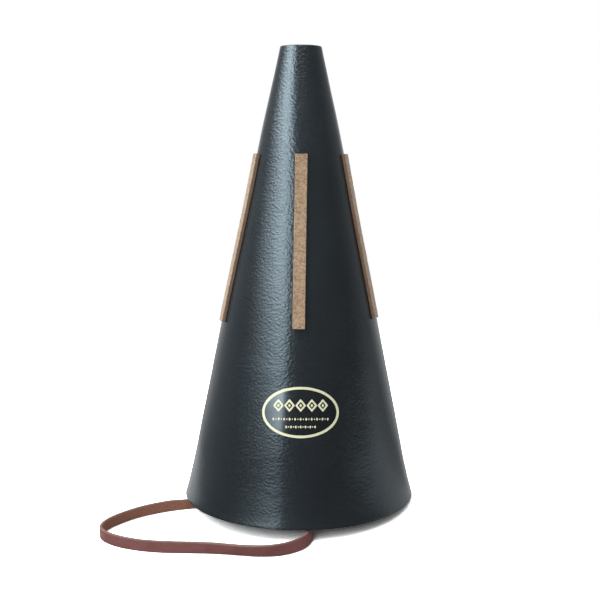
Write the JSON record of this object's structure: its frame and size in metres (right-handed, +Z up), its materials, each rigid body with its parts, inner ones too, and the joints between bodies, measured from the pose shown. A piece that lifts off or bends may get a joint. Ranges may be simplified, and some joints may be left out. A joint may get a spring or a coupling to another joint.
{
  "type": "french horn straight mute",
  "caption": "Conical straight mute for a French horn: rolled black board cone, cork strips along its sides, closed wide end and a riveted leather wrist strap.",
  "frame": {"origin": "on the surface that the mute stands on, below the centre of its wide end", "axes": "+Z is up from the surface, -Y is the front with the label place. The mute stands on its own strap, as in the picture, so the cone's axis leans 3.3 degrees back to the right, towards (0.0338, 0.0465, 0.9983)"},
  "size_m": [0.1906, 0.1639, 0.2844],
  "materials": {
    "lacquered_board": "satin",
    "plain_board": "matte",
    "cork": "matte",
    "leather": "satin",
    "brass": "satin"
  },
  "bodies": {
    "root": {"cone_shell": "lacquered_board", "base_plate": "plain_board", "base_hoop": "plain_board", "cork_strip_1": "cork", "cork_strip_2": "cork", "cork_strip_3": "cork", "cork_strip_4": "cork", "cork_strip_5": "cork", "strap_rivet": "brass", "inner_washer": "brass", "outer_washer": "brass", "wrist_strap": "leather"}
  },
  "joints": []
}
